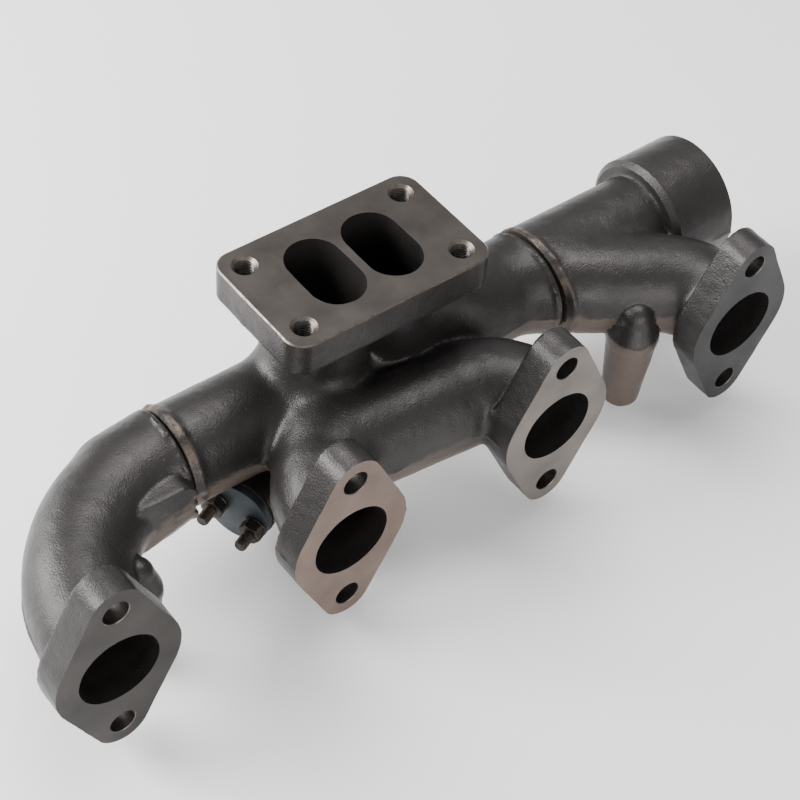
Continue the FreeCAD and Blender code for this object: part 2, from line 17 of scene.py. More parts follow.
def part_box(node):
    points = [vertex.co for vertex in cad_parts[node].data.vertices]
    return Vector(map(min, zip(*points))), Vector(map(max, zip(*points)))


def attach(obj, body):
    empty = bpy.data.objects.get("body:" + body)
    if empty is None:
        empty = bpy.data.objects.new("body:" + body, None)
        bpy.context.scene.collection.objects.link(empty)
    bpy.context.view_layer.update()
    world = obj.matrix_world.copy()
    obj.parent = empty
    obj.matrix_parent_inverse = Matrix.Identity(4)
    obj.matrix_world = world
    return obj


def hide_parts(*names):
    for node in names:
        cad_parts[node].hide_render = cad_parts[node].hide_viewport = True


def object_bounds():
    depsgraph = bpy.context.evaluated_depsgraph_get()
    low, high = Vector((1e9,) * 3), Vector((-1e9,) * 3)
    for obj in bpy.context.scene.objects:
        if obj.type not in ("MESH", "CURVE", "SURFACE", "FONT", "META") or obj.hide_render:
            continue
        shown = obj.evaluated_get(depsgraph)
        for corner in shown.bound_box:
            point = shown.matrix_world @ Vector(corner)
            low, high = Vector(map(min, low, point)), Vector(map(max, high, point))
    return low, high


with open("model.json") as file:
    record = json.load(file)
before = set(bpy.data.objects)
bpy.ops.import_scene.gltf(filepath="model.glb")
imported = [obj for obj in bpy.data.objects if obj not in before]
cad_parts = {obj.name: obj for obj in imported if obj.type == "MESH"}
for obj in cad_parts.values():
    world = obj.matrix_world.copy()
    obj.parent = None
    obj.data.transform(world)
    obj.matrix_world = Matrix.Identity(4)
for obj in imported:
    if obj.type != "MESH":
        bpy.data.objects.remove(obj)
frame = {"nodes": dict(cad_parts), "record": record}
cad_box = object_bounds()

MM = 0.001

# ---------- engine side ----------
PORT_PITCH = 115.0
PORT_X = [-1.5 * PORT_PITCH, -0.5 * PORT_PITCH, 0.5 * PORT_PITCH, 1.5 * PORT_PITCH]
GAS_R = 18.75
TUBE_R = 23.8
REAR_TUBE_R = 24.3
FLANGE_T = 15.0
FLANGE_MID_R = 29.5
FLANGE_END_R = 12.5
PORT_STOCK = 2.0         # raw metal left on a port face before it is machined
BOLT_Z = 37.6
BOLT_HOLE_R = 6.0
BOLT_CHAMFER = 0.35

# ---------- main tube and joints ----------
LOG_Y = 80.0
LOG_Z = 2.0
SLOPE = math.atan2(LOG_Z, LOG_Y)
ELBOW_BEND_R = 70.0
LEAD_IN = LOG_Y - ELBOW_BEND_R
PORT_2_LEAD_IN = 5.0
PORT_2_BEND_R = 42.0
PORT_2_TURN = math.radians(38.0)
PORT_2_OUTSIDE_END_X = -19.6
PORT_2_GAS_END_X = -21.2
PORT_3_LEAD_IN = 12.0
PORT_3_BEND_R = 26.0
PORT_3_TURN = math.radians(84.5)
PORT_3_END_X = -36.0
PAST_FACE = -25.0        # gas passages are cut from in front of the port faces
PORT_4_POLES = [(172.5, LEAD_IN), (172.5, 45.0), (150.0, 42.0), (112.0, 72.0)]
PORT_4_GAS_POLES = [(172.5, LEAD_IN), (172.5, 43.0), (154.0, 44.0), (134.0, 64.0)]
CURVE_POINTS = 15        # points along a curved runner
SOCKET_R = 20.65      # facets of the socket stay off the seal rings
SPIGOT_R = 20.5
JOINT_GAS_R = 16.8
SPIGOT_LENGTH = 14.0
SPIGOT_CHAMFER = 0.8
SOCKET_END_CLEARANCE = 2.5
SHOULDER_R = 24.9
FRONT_SHOULDER_X = -98.5
FRONT_GAP = 1.6
REAR_SHOULDER_X = 103.0
REAR_GAP = 1.8
NARROWING = 16.0         # the passage narrows this far before a shoulder
RING_OFFSETS = [5.6, 10.2]
GROOVE_WIDTH = 2.2
GROOVE_R = 18.6

# ---------- turbocharger flange ----------
TURBO_X = -1.25
TURBO_TOP_Z = 72.0
TURBO_T = 17.5
TURBO_HALF_X = 53.5
TURBO_HALF_Y = 33.0
TURBO_CORNER_R = 9.5
TURBO_CHAMFER = 0.8
STOCK = 2.5              # raw metal left on the top face and the collar end
STUD_SPACING_X = 84.0
STUD_SPACING_Y = 43.3
TAP_R = 4.25
TAP_MAJOR_R = 5.0
TAP_PITCH = 1.5
TAP_MOUTH_R = 6.0
SCROLL_OFFSET_X = 15.05
SCROLL_HALF_WIDTH = 13.0
SCROLL_HALF_LENGTH = 21.5
SCROLL_TOP_Z = 80.0      # the scroll passages are cut from above the face
WALL = 4.75
SCROLL_FOOT = (24.0, 2.0, 16.0, 18.0)     # offset along X, height, half width, half length
SCROLL_LOG_OFFSET_X = 26.0
NECK_TOP_Z = 68.0
NECK_FOOT = (22.0, 0.0, 21.0, 23.0)
HAUNCH_R = 20.0
FRONT_HAUNCH = (np.array([-18.0, LOG_Y, 34.0]), np.array([-34.0, LOG_Y, 5.0]))
REAR_HAUNCH = (np.array([14.0, LOG_Y, 42.0]), np.array([72.0, LOG_Y, 5.0]))

# ---------- collar ----------
COLLAR_R = 32.0
COLLAR_CHAMFER = 3.0
COLLAR_START_X = 176.0
COLLAR_END_X = 212.6
COLLAR_BORE_R = 25.4
COLLAR_DEPTH = 30.0
COLLAR_MOUTH = 1.5

# ---------- posts and pad ----------
POST_BASE_R = 12.7
POST_TIP_R = 9.0
POST_DOME_R = 8.5
POST_NECK_LENGTH = 9.0
POST_TIP_ROUND = 3.5
FRONT_POST = (-142.0, 35.5, 9.0, -60.0, 0.85)     # x, y, dome height, tip height, scale
REAR_POST = (133.5, 30.7, 9.0, -55.0, 1.0)
PAD_MIDDLE = (-117.6, 2.3)                         # x and z
PAD_HALF = (15.9, 14.9)
PAD_CORNER_R = 7.5
PAD_FACE_Y = 51.1
PAD_BACK_Y = 66.0

# ---------- blanking cover ----------
COVER_CENTRE = np.array([-73.4, 62.3, -34.5])
COVER_TURN = math.radians(24.7)
COVER_TILT = math.radians(15.6)
COVER_OUT = np.array([-math.cos(COVER_TURN), -math.sin(COVER_TURN), 0.0])
COVER_R = 16.0
COVER_T = 4.0
GASKET_T = 1.0
BOSS_R = 16.5
BOSS_LENGTH = 19.0
DRAIN_R = 5.0
STUD_R = 3.0
STUD_PITCH = 1.0
STUD_SIDES = (-10.2, 10.2)     # along the stud line
STUD_PROUD = 14.0
STUD_EMBED = 9.0
WASHER_R = 5.6
WASHER_T = 1.2
NUT_HALF_FLATS = 5.0
NUT_T = 5.0
CLEAR_HOLE_R = 3.3
STUD_LEAD = 0.8          # plain end of a stud

TEXTURE_ROOM = 0.15      # smooth shapes stay this far inside their size, for the cast texture

X = np.array([1.0, 0.0, 0.0])
Y = np.array([0.0, 1.0, 0.0])
Z = np.array([0.0, 0.0, 1.0])


# ==================== distance shapes ====================
# Each shape is a function of an array of points (n, 3) that gives the signed distance
# to its surface, negative inside.

def on_slope(x, y):
    """Point on the sloping plane that holds the port centres and the main tube axis."""
    return np.array([x, y, LOG_Z * y / LOG_Y])


def on_log(x):
    """Point on the main tube's axis."""
    return np.array([x, LOG_Y, LOG_Z])


def bar(start, end, start_r, end_r=None):
    """Round bar with domed ends, or a tapered one."""
    end_r = start_r if end_r is None else end_r
    along = end - start

    def distance(p):
        t = np.clip((p - start) @ along / (along @ along), 0.0, 1.0)
        gap = p - start - t[:, None] * along
        return np.sqrt((gap * gap).sum(1)) - (start_r + t * (end_r - start_r))
    return distance


def disc(start, end, radius, round_r=0.0):
    """Cylinder with flat ends, its edges rounded by round_r."""
    length = np.linalg.norm(end - start)
    axis = (end - start) / length
    middle = (start + end) / 2

    def distance(p):
        q = p - middle
        h = q @ axis
        radial = np.sqrt(np.maximum((q * q).sum(1) - h * h, 0.0))
        return extruded(radial - radius, np.abs(h) - length / 2, round_r)
    return distance


def extruded(side, ends, round_r):
    """Distance of a plate from its outline distance and its thickness distance."""
    a = side + round_r
    b = ends + round_r
    outside = np.hypot(np.maximum(a, 0.0), np.maximum(b, 0.0))
    return outside + np.minimum(np.maximum(a, b), 0.0) - round_r


def bend(centre_x, centre_y, bend_r, start, end, radius):
    """Bent bar in the sloping plane, between two angles in radians, with domed ends."""
    middle = (start + end) / 2
    half = (end - start) / 2
    cos_slope = math.cos(SLOPE)
    sin_slope = math.sin(SLOPE)

    def distance(p):
        flat_y = (p[:, 1] * cos_slope + p[:, 2] * sin_slope) - centre_y
        off = p[:, 2] * cos_slope - p[:, 1] * sin_slope
        flat_x = p[:, 0] - centre_x
        angle = np.arctan2(flat_y, flat_x) - middle
        angle = (angle + math.pi) % (2 * math.pi) - math.pi
        angle = np.clip(angle, -half, half) + middle
        near_x = flat_x - bend_r * np.cos(angle)
        near_y = flat_y - bend_r * np.sin(angle)
        return np.sqrt(near_x ** 2 + near_y ** 2 + off ** 2) - radius
    return distance


def chain(points, radius):
    """Bar through a list of points."""
    links = [bar(a, b, radius) for a, b in zip(points[:-1], points[1:])]

    def distance(p):
        return np.minimum.reduce([link(p) for link in links])
    return distance


def bezier(poles, count):
    t = np.linspace(0.0, 1.0, count)[:, None]
    a, b, c, d = (pole[None, :] for pole in poles)
    return list(a * (1 - t) ** 3 + 3 * b * t * (1 - t) ** 2 + 3 * c * t * t * (1 - t) + d * t ** 3)


def port_plate(x, stock):
    """Port flange: middle circle drawn down to two end circles; stock stands proud of the face."""
    lean = (FLANGE_MID_R - FLANGE_END_R) / BOLT_Z
    across = math.sqrt(1.0 - lean * lean)
    thickness = (FLANGE_T + stock) / 2

    def distance(p):
        u = np.abs(p[:, 0] - x)
        v = np.abs(p[:, 2])
        k = v * across - u * lean
        near_mid = np.hypot(u, v) - FLANGE_MID_R
        near_end = np.hypot(u, v - BOLT_Z) - FLANGE_END_R
        straight = u * across + v * lean - FLANGE_MID_R
        side = np.where(k < 0, near_mid, np.where(k > across * BOLT_Z, near_end, straight))
        return extruded(side + TEXTURE_ROOM, np.abs(p[:, 1] - FLANGE_T + thickness) - thickness, 0.9)
    return distance


def rounded_box(centre, half, side_r, edge_r):
    """Box with rounded uprights and rounded top and bottom edges."""
    def distance(p):
        q = np.abs(p - centre)
        u = q[:, 0] - half[0] + side_r
        v = q[:, 1] - half[1] + side_r
        side = np.hypot(np.maximum(u, 0), np.maximum(v, 0)) + np.minimum(np.maximum(u, v), 0) - side_r
        return extruded(side, q[:, 2] - half[2], edge_r)
    return distance


def duct(top, foot):
    """Upright duct whose slot section (x, z, half width, half length) changes with height."""
    def distance(p):
        t = np.clip((p[:, 2] - foot[1]) / (top[1] - foot[1]), 0.0, 1.0)
        t = t * t * (3 - 2 * t)
        x = foot[0] + t * (top[0] - foot[0])
        half_width = foot[2] + t * (top[2] - foot[2])
        half_length = foot[3] + t * (top[3] - foot[3])
        straight = half_length - half_width
        v = np.maximum(np.abs(p[:, 1] - LOG_Y) - straight, 0.0)
        side = np.hypot(p[:, 0] - x, v) - half_width
        middle_z = (top[1] + foot[1]) / 2
        ends = np.abs(p[:, 2] - middle_z) - (top[1] - foot[1]) / 2
        return 0.92 * extruded(side, ends, 1.0)
    return distance


# ==================== cast surface detail ====================

def lattice(cells, seed):
    """Whole-number coordinates to repeatable values between -1 and 1."""
    n = cells[:, 0] * 374761393 + cells[:, 1] * 668265263 + cells[:, 2] * 1274126177 + seed * 974711
    n = (n ^ (n >> 13)) * 1274126177
    n = n ^ (n >> 16)
    return (n & 0xFFFF) / 32767.5 - 1.0


def noise(p, size, seed):
    """Smooth random surface with bumps of about the given size."""
    q = p / size
    base = np.floor(q).astype(np.int64)
    f = q - base
    f = f * f * (3 - 2 * f)
    total = np.zeros(len(p))
    for corner in range(8):
        step = np.array([corner & 1, (corner >> 1) & 1, (corner >> 2) & 1])
        weight = np.prod(np.where(step, f, 1 - f), axis=1)
        total += weight * lattice(base + step, seed)
    return total


def cast_texture(p):
    """Height of the sand-cast skin above the smooth shape."""
    return 0.10 * noise(p, 3.1, 1) + 0.10 * noise(p, 8.0, 2) + 0.14 * noise(p, 26.0, 3)


def parting_ridge(p):
    """Broken flash line where the two halves of the mould met, in the sloping plane."""
    off = p[:, 2] * math.cos(SLOPE) - p[:, 1] * math.sin(SLOPE)
    left = np.clip(noise(p * np.array([1.0, 1.0, 0.2]), 9.0, 7) + 0.35, 0.0, 1.0)
    wander = 0.5 * noise(p, 14.0, 8)
    return 0.7 * left * np.exp(-((off - wander) / 0.9) ** 2)


# ==================== skin meshing ====================

class Skin:
    """A raw casting: shapes blended together, with passages blended out of it."""

    def __init__(self, low, high):
        self.low = np.array(low, float)
        self.high = np.array(high, float)
        self.shapes = []
        self.passages = []
        self.relief = []

    def add(self, shape, fillet):
        self.shapes.append((shape, fillet))

    def hollow(self, shape, fillet):
        self.passages.append((shape, fillet))

    def distance(self, p):
        outside = blended(self.shapes, p) - cast_texture(p) - parting_ridge(p)
        for raised in self.relief:
            outside = outside - raised(p)
        if not self.passages:
            return outside
        inside = blended(self.passages, p) + cast_texture(p + 50.0)
        return -smooth_min(-outside, inside, 0.8)


def smooth_min(a, b, fillet):
    if not fillet:
        return np.minimum(a, b)
    h = np.maximum(fillet - np.abs(a - b), 0.0) / fillet
    return np.minimum(a, b) - h * h * fillet * 0.25


def blended(shapes, p):
    total = shapes[0][0](p)
    for shape, fillet in shapes[1:]:
        total = smooth_min(total, shape(p), fillet)
    return total


def sample(skin, step):
    """Distances on a grid, worked out in full only near the surface."""
    coarse = 4
    counts = (np.ceil((skin.high - skin.low) / (step * coarse)).astype(int) + 1) * coarse
    axes = [skin.low[i] + step * np.arange(counts[i]) for i in range(3)]
    middles = [a.reshape(-1, coarse).mean(1) for a in axes]
    points = np.stack(np.meshgrid(*middles, indexing="ij"), -1).reshape(-1, 3)
    rough = skin.distance(points).reshape([len(m) for m in middles])
    for axis in range(3):
        rough = np.repeat(rough, coarse, axis)
    near = np.abs(rough) < step * coarse * 1.1
    where = np.argwhere(near)
    fine = np.stack([axes[i][where[:, i]] for i in range(3)], 1)
    rough[near] = skin.distance(fine)
    for axis in range(3):
        walls = np.moveaxis(rough, axis, 0)
        walls[[0, -1]] = np.maximum(walls[[0, -1]], step / 2)
    return rough, axes


def surface_net(values, axes, step):
    """Quads round every grid edge that crosses the surface."""
    solid = values < 0
    low = np.array([a[0] for a in axes])
    corners = [np.array([i & 1, (i >> 1) & 1, (i >> 2) & 1]) for i in range(8)]

    def shifted(array, c):
        return array[c[0]:array.shape[0] - 1 + c[0], c[1]:array.shape[1] - 1 + c[1],
                     c[2]:array.shape[2] - 1 + c[2]]

    count = sum(shifted(solid, c).astype(np.int8) for c in corners)
    cells = np.argwhere((count > 0) & (count < 8))
    number = np.full(count.shape, -1, np.int64)
    number[tuple(cells.T)] = np.arange(len(cells))
    at = [values[tuple((cells + c).T)] for c in corners]
    total = np.zeros((len(cells), 3))
    hits = np.zeros(len(cells))
    for i in range(8):
        for axis in range(3):
            j = i | (1 << axis)
            if j == i:
                continue
            cross = (at[i] < 0) != (at[j] < 0)
            t = np.where(cross, at[i] / np.where(cross, at[i] - at[j], 1.0), 0.0)
            point = corners[i] + t[:, None] * (corners[j] - corners[i])
            total += point * cross[:, None]
            hits += cross
    points = low + step * (cells + total / hits[:, None])
    quads = []
    for axis in range(3):
        u, v = (axis + 1) % 3, (axis + 2) % 3
        a = np.moveaxis(solid, axis, 0)[:-1]
        b = np.moveaxis(solid, axis, 0)[1:]
        edges = np.argwhere(a != b)
        starts_solid = a[tuple(edges.T)]
        order = np.argsort([axis] + [i for i in range(3) if i != axis])
        edges = edges[:, order]
        ring = []
        for du, dv in ((-1, -1), (0, -1), (0, 0), (-1, 0)):
            cell = edges.copy()
            cell[:, u] += du
            cell[:, v] += dv
            ring.append(number[tuple(cell.T)])
        quad = np.stack(ring, 1)
        flip = ~starts_solid
        quad[flip] = quad[flip][:, ::-1]
        quads.append(quad)
    return points, np.concatenate(quads)


def settle(skin, points, step):
    """Moves the net's points onto the true surface."""
    e = step * 0.25
    for _ in range(2):
        here = skin.distance(points)
        slope = np.stack([skin.distance(points + e * axis) - here for axis in (X, Y, Z)], 1) / e
        size = np.maximum((slope * slope).sum(1), 0.25)
        move = -here[:, None] * slope / size[:, None]
        reach = np.maximum(np.linalg.norm(move, axis=1) / (0.4 * step), 1.0)
        points = points + move / reach[:, None]
    return points


def mesh_object(name, points, faces):
    mesh = bpy.data.meshes.new(name)
    mesh.from_pydata((np.asarray(points) * MM).tolist(), [], [list(f) for f in faces])
    mesh.validate()
    piece = bpy.data.objects.new(name, mesh)
    bpy.context.scene.collection.objects.link(piece)
    return piece


def skin_object(name, skin, step):
    values, axes = sample(skin, step)
    points, quads = surface_net(values, axes, step)
    return mesh_object(name, settle(skin, points, step), quads.tolist())


# ==================== cutting tools ====================

def side_vectors(axis):
    """Two directions square to an axis."""
    helper = Z if abs(axis[2]) < 0.9 else X
    u = np.cross(helper, axis)
    u /= np.linalg.norm(u)
    return u, np.cross(axis, u)


def circle(axis, count, turn=0.0):
    """Unit vectors round an axis."""
    u, v = side_vectors(axis)
    angle = np.arange(count) * 2 * math.pi / count + turn
    return np.cos(angle)[:, None] * u + np.sin(angle)[:, None] * v


def band(i, j, segments):
    """Quads between circle i and circle j of a mesh."""
    return [[i * segments + k, i * segments + (k + 1) % segments,
             j * segments + (k + 1) % segments, j * segments + k] for k in range(segments)]


def end_caps(last, segments):
    """Faces that close circle 0 and the last circle."""
    return [list(range(segments))[::-1], [last * segments + k for k in range(segments)]]


def turned(name, origin, axis, profile, segments=128):
    """Turned solid from a profile of (distance along the axis, radius)."""
    axis = np.asarray(axis, float) / np.linalg.norm(axis)
    around = circle(axis, segments)
    points = np.concatenate([origin + axis * a + r * around for a, r in profile])
    last = len(profile) - 1
    faces = []
    for i in range(last):
        faces += band(i, i + 1, segments)
    return mesh_object(name, points, faces + end_caps(last, segments))


def ring_solid(origin, axis, section, segments=96):
    """Ring with the given section of (distance along the axis, radius)."""
    around = circle(axis, segments)
    points = np.concatenate([origin + axis * a + r * around for a, r in section])
    count = len(section)
    faces = []
    for i in range(count):
        faces += band(i, (i + 1) % count, segments)
    return mesh_object("tool", points, faces)


def block(low, high):
    low = np.array(low, float)
    high = np.array(high, float)
    ends = (low, high)
    points = [[ends[i & 1][0], ends[(i >> 1) & 1][1], ends[i >> 2][2]] for i in range(8)]
    faces = [[0, 2, 3, 1], [4, 5, 7, 6], [0, 1, 5, 4], [2, 6, 7, 3], [0, 4, 6, 2], [1, 3, 7, 5]]
    return mesh_object("tool", points, faces)


def drill(start, end, radius, segments=64):
    length = np.linalg.norm(end - start)
    return turned("tool", start, end - start, [(0.0, radius), (length, radius)], segments=segments)


def countersink(mouth, inward, small_r, large_r):
    """Cone that chamfers a hole's mouth at 45 degrees."""
    depth = large_r - small_r
    over = 0.6
    profile = [(-over, large_r + over), (depth, small_r - 0.05)]
    return turned("tool", mouth, inward, profile, segments=64)


def threaded_rod(name, start, end, root_r, crest_r, pitch, segments=36, lead=0.0):
    """Closed rod with one helical thread, plain over the lead length at its far end."""
    axis = end - start
    length = np.linalg.norm(axis)
    axis = axis / length
    around = circle(axis, segments)
    rows = int(length / pitch * 8) + 1
    points = []
    for row in range(rows):
        along = length * row / (rows - 1)
        phase = (along / pitch - np.arange(segments) / segments) % 1.0
        ridge = np.clip(1.35 - 2.7 * np.abs(phase - 0.5), 0.0, 1.0)
        ridge = ridge * min(1.0, max(0.0, (length - along) / lead)) if lead else ridge
        radius = root_r + (crest_r - root_r) * ridge
        points.append(start + axis * along + radius[:, None] * around)
    faces = []
    for i in range(rows - 1):
        faces += band(i, i + 1, segments)
    return mesh_object(name, np.concatenate(points), faces + end_caps(rows - 1, segments))


def rounded_outline(half_x, half_y, corner_r, steps=10):
    points = []
    for quarter, (sx, sy) in enumerate(((1, 1), (-1, 1), (-1, -1), (1, -1))):
        for i in range(steps + 1):
            angle = math.radians(90 * quarter + 90 * i / steps)
            points.append((sx * (half_x - corner_r) + corner_r * math.cos(angle),
                           sy * (half_y - corner_r) + corner_r * math.sin(angle)))
    return points


def edge_chamfer_tool():
    """Frame round the turbocharger flange that takes its top edge off at 45 degrees."""
    over = 1.0
    inner_low = rounded_outline(TURBO_HALF_X + over, TURBO_HALF_Y + over, TURBO_CORNER_R + over)
    grow = -TURBO_CHAMFER - over
    inner_high = rounded_outline(TURBO_HALF_X + grow, TURBO_HALF_Y + grow, TURBO_CORNER_R + grow)
    outer = rounded_outline(TURBO_HALF_X + 8, TURBO_HALF_Y + 8, TURBO_CORNER_R + 8)
    low_z = TURBO_TOP_Z - TURBO_CHAMFER - over
    high_z = TURBO_TOP_Z + over
    count = len(outer)
    rings = [(outer, low_z), (inner_low, low_z), (inner_high, high_z), (outer, high_z)]
    points = [(TURBO_X + x, LOG_Y + y, z) for ring, z in rings for x, y in ring]
    faces = []
    for i in range(4):
        j = (i + 1) % 4
        for k in range(count):
            n = (k + 1) % count
            faces.append([i * count + k, j * count + k, j * count + n, i * count + n])
    return mesh_object("tool", points, faces)


def cut(piece, tools):
    """Takes each tool out of the piece and clears the tools away."""
    for tool in tools:
        modifier = piece.modifiers.new("cut", "BOOLEAN")
        modifier.operation = "DIFFERENCE"
        modifier.solver = "MANIFOLD"
        modifier.material_mode = "TRANSFER"
        modifier.object = tool
    graph = bpy.context.evaluated_depsgraph_get()
    result = bpy.data.meshes.new_from_object(piece.evaluated_get(graph))
    piece.modifiers.clear()
    piece.data = result
    for tool in tools:
        bpy.data.objects.remove(tool)


# ==================== materials ====================

PIT_SPACING = 7.0


def socket(nodes, kind, **values):
    """Adds a shader node and sets its own sockets."""
    node = nodes.new(kind)
    for key, value in values.items():
        node.inputs[key.replace("_", " ")].default_value = value
    return node


def ramp(nodes, low, high, low_value, high_value):
    node = nodes.new("ShaderNodeMapRange")
    node.inputs["From Min"].default_value = low
    node.inputs["From Max"].default_value = high
    node.inputs["To Min"].default_value = low_value
    node.inputs["To Max"].default_value = high_value
    return node


def mix(nodes, links, factor, a, b):
    """Colour mix; a and b are colours or outputs."""
    node = nodes.new("ShaderNodeMix")
    node.data_type = "RGBA"
    for slot_index, value in ((6, a), (7, b)):
        if isinstance(value, tuple):
            node.inputs[slot_index].default_value = (*value, 1.0)
        else:
            links.new(value, node.inputs[slot_index])
    links.new(factor, node.inputs[0])
    return node.outputs[2]


def noise_value(nodes, links, place, size_mm, detail, low, high):
    """Noise of a given feature size, stretched to run from 0 to 1."""
    texture = socket(nodes, "ShaderNodeTexNoise", Scale=1000.0 / size_mm, Detail=detail)
    links.new(place, texture.inputs["Vector"])
    stretch = ramp(nodes, low, high, 0.0, 1.0)
    links.new(texture.outputs["Fac"], stretch.inputs["Value"])
    return stretch.outputs["Result"]


def times(nodes, links, a, b, kind="MULTIPLY"):
    """Arithmetic on two outputs, or on an output and a number."""
    node = nodes.new("ShaderNodeMath")
    node.operation = kind
    links.new(a, node.inputs[0])
    if isinstance(b, float):
        node.inputs[1].default_value = b
    else:
        links.new(b, node.inputs[1])
    return node.outputs[0]


def split_axes(nodes, links, vector):
    node = nodes.new("ShaderNodeSeparateXYZ")
    links.new(vector, node.inputs[0])
    return node.outputs


def ramped(nodes, links, value, low, high, low_value=0.0, high_value=1.0):
    node = ramp(nodes, low, high, low_value, high_value)
    links.new(value, node.inputs["Value"])
    return node.outputs["Result"]


def underside_dust_and_bounce_share(nodes, links, place):
    """Share of the underside tint, partly dust and partly painted bounce light from the floor: one below the
    parting line on the engine side, and nothing above it, at the back or on the flanges.
    """
    at = split_axes(nodes, links, place)
    normal = split_axes(nodes, links, nodes.new("ShaderNodeNewGeometry").outputs["Normal"])
    height = times(nodes, links, times(nodes, links, at["Z"], 22.0), normal["Z"], "ADD")
    ragged = times(nodes, links, noise_value(nodes, links, place, 7.0, 3.0, 0.2, 0.8), 0.3)
    below = ramped(nodes, links, times(nodes, links, height, ragged, "ADD"), 0.30, 0.12)
    behind_flange = ramped(nodes, links, at["Y"], 0.014, 0.019)
    facing_engine = ramped(nodes, links, normal["Y"], 0.5, -0.15)
    return times(nodes, links, times(nodes, links, below, behind_flange), facing_engine)


def seam_share(nodes, links, place, centre_mm, half_mm):
    """One on the upper part of a band round the main tube, where a coppery tone with a painted highlight
    goes.
    """
    at = split_axes(nodes, links, place)
    off = times(nodes, links, at["X"], -centre_mm * MM, "ADD")
    size = nodes.new("ShaderNodeMath")
    size.operation = "ABSOLUTE"
    links.new(off, size.inputs[0])
    ragged = noise_value(nodes, links, place, 6.0, 4.0, 0.34, 0.68)
    across = ramped(nodes, links, size.outputs[0], half_mm * MM, 0.6 * half_mm * MM)
    upper = ramped(nodes, links, at["Z"], 0.008, 0.020)
    return times(nodes, links, times(nodes, links, across, upper), ragged)


def iron(name, dark, light, roughness, metallic, blotch_mm, grain_mm, grain_depth,
         under=None, seams=(), streak=None, pit_depth=0.0, sheen=0.5):
    """Iron surface: blotchy colour and fine grain, drawn out by streak where a tool left marks.

    A cast skin also has pits, an underside tint of dust and painted floor bounce light, and seam bands of
    coppery tone with a painted highlight (station, half width, tint).
    """
    made = bpy.data.materials.new(name)
    made.use_nodes = True
    nodes = made.node_tree.nodes
    links = made.node_tree.links
    shader = nodes["Principled BSDF"]
    place = nodes.new("ShaderNodeTexCoord").outputs["Object"]
    blotch = noise_value(nodes, links, place, blotch_mm, 5.0, 0.3, 0.7)
    colour = mix(nodes, links, blotch, dark, light)
    speck = noise_value(nodes, links, place, grain_mm * 1.6, 2.0, 0.66, 0.80)
    colour = mix(nodes, links, speck, colour, tuple(min(1.0, 1.35 * c) for c in light))
    shader.inputs["Metallic"].default_value = metallic
    if under:
        # underside tint: partly dust, partly painted bounce light from the floor
        share = underside_dust_and_bounce_share(nodes, links, place)
        colour = mix(nodes, links, share, colour, under)
        # seam bands: coppery tone with a painted highlight on their upper part
        for centre_mm, half_mm, tint in seams:
            coppery_highlight = seam_share(nodes, links, place, centre_mm, half_mm)
            colour = mix(nodes, links, coppery_highlight, colour, tint)
        links.new(ramped(nodes, links, share, 0.0, 1.0, metallic, 0.1), shader.inputs["Metallic"])
    links.new(colour, shader.inputs["Base Color"])
    shader.inputs["Specular IOR Level"].default_value = sheen
    links.new(ramped(nodes, links, blotch, 0.0, 1.0, roughness + 0.05, roughness - 0.05),
              shader.inputs["Roughness"])
    grain_place = place
    if streak:
        stretch = nodes.new("ShaderNodeVectorMath")
        stretch.operation = "MULTIPLY"
        stretch.inputs[1].default_value = streak
        links.new(place, stretch.inputs[0])
        grain_place = stretch.outputs[0]
    height = noise_value(nodes, links, grain_place, grain_mm, 3.0, 0.3, 0.7)
    bump = socket(nodes, "ShaderNodeBump", Distance=grain_depth * MM, Strength=1.0)
    links.new(height, bump.inputs["Height"])
    normal = bump.outputs["Normal"]
    if pit_depth:
        pits = socket(nodes, "ShaderNodeTexVoronoi", Scale=1000.0 / PIT_SPACING, Randomness=1.0)
        links.new(place, pits.inputs["Vector"])
        hole = ramp(nodes, 0.04, 0.16, 0.0, 1.0)
        links.new(pits.outputs["Distance"], hole.inputs["Value"])
        second = socket(nodes, "ShaderNodeBump", Distance=pit_depth * MM, Strength=1.0)
        links.new(hole.outputs["Result"], second.inputs["Height"])
        links.new(normal, second.inputs["Normal"])
        normal = second.outputs["Normal"]
    links.new(normal, shader.inputs["Normal"])
    return made


# coppery tone with a painted highlight, for the upper part of the seam bands
COPPER_AND_HIGHLIGHT = (0.115, 0.084, 0.066)
# tan for the undersides: partly dust, partly painted bounce light from the floor
DUST_AND_BOUNCE_LIGHT = (0.088, 0.062, 0.048)
CAST = iron("cast_skin", (0.0225, 0.0205, 0.0198), (0.036, 0.0325, 0.0310), 0.37, 0.5, 16.0, 0.8, 0.085,
            under=DUST_AND_BOUNCE_LIGHT, pit_depth=0.10,
            seams=((FRONT_SHOULDER_X + 2.2, 2.4, COPPER_AND_HIGHLIGHT), (REAR_SHOULDER_X + REAR_GAP + 1.6, 2.2, COPPER_AND_HIGHLIGHT)))
BORE = iron("drilled_hole", (0.030, 0.028, 0.026), (0.060, 0.054, 0.050), 0.38, 0.7, 6.0, 0.3, 0.02,
            streak=(1.0, 6.0, 1.0))
THREAD = iron("tapped_thread", (0.035, 0.032, 0.030), (0.085, 0.078, 0.074), 0.34, 0.8, 4.0, 0.3, 0.01)
TURNED = iron("turned_band", (0.045, 0.040, 0.038), (0.085, 0.075, 0.069), 0.36, 0.75, 8.0, 0.4, 0.02,
              streak=(7.0, 1.0, 1.0))
EDGE = iron("worn_edge", (0.08, 0.067, 0.057), (0.17, 0.145, 0.123), 0.38, 0.8, 3.0, 0.5, 0.02)
TOP_FACE = iron("turbo_face", (0.024, 0.0195, 0.0170), (0.056, 0.047, 0.041), 0.42, 0.5, 18.0, 0.5, 0.012,
                streak=(0.2, 4.0, 1.0))
